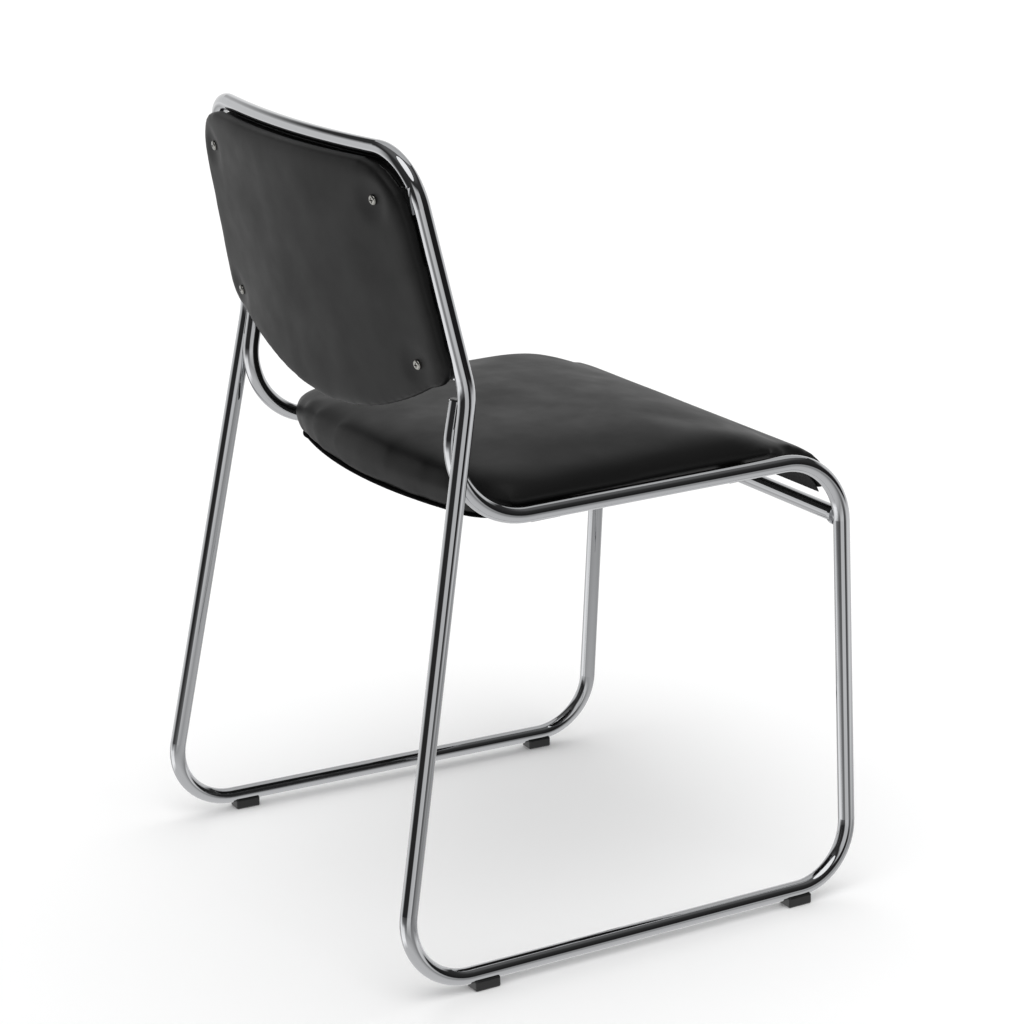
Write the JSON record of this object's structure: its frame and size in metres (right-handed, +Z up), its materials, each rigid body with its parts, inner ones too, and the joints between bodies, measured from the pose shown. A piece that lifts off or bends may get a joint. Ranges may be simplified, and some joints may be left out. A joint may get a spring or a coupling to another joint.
{
  "type": "sled base visitor chair",
  "caption": "Chromed tube sled base visitor chair with an upholstered black vinyl seat and back, a hoop back frame, a front crossbar and plastic floor glides.",
  "frame": {"origin": "On the floor, in the middle of the chair's width and depth", "axes": "+Z up, +Y to the rear of the chair, +X to the sitter's left; the sitter looks along -Y"},
  "size_m": [0.5308, 0.5125, 0.7641],
  "materials": {
    "chrome": "bright chrome plate, mirror smooth",
    "zinc_steel": "zinc plate",
    "nickel_screws": "nickel plate, lightly worn",
    "black_plastic": "moulded, satin",
    "plywood": "bare sanded plywood",
    "foam": "open-cell foam",
    "black_vinyl": "coated cloth, fine grain, semi-matte",
    "dust_cloth": "thin woven cloth, matte"
  },
  "bodies": {
    "root": {"sled_base_right": "chrome", "sled_base_left": "chrome", "seat_rail_right": "chrome", "seat_rail_left": "chrome", "back_hoop": "chrome", "front_crossbar": "chrome", "crossbar_welds": "chrome", "rail_end_welds": "chrome", "seat_tab_front_right": "chrome", "seat_tab_rear_right": "chrome", "seat_tab_front_left": "chrome", "seat_tab_rear_left": "chrome", "back_tab_top_right": "chrome", "back_tab_bottom_right": "chrome", "back_tab_top_left": "chrome", "back_tab_bottom_left": "chrome", "tube_spigots": "zinc_steel", "seat_screws": "zinc_steel", "seat_tee_nuts": "zinc_steel", "back_tee_nuts": "zinc_steel", "back_screws": "nickel_screws", "back_washers": "nickel_screws", "glide_rear_right": "black_plastic", "glide_rear_left": "black_plastic", "glide_front_right": "black_plastic", "glide_front_left": "black_plastic", "glide_pins": "black_plastic", "rail_end_plugs": "black_plastic", "seat_board": "plywood", "back_board": "plywood", "seat_foam": "foam", "back_front_foam": "foam", "back_rear_foam": "foam", "seat_cover": "black_vinyl", "back_front_cover": "black_vinyl", "back_rear_cover": "black_vinyl", "seat_dust_cover": "dust_cloth"}
  },
  "joints": []
}
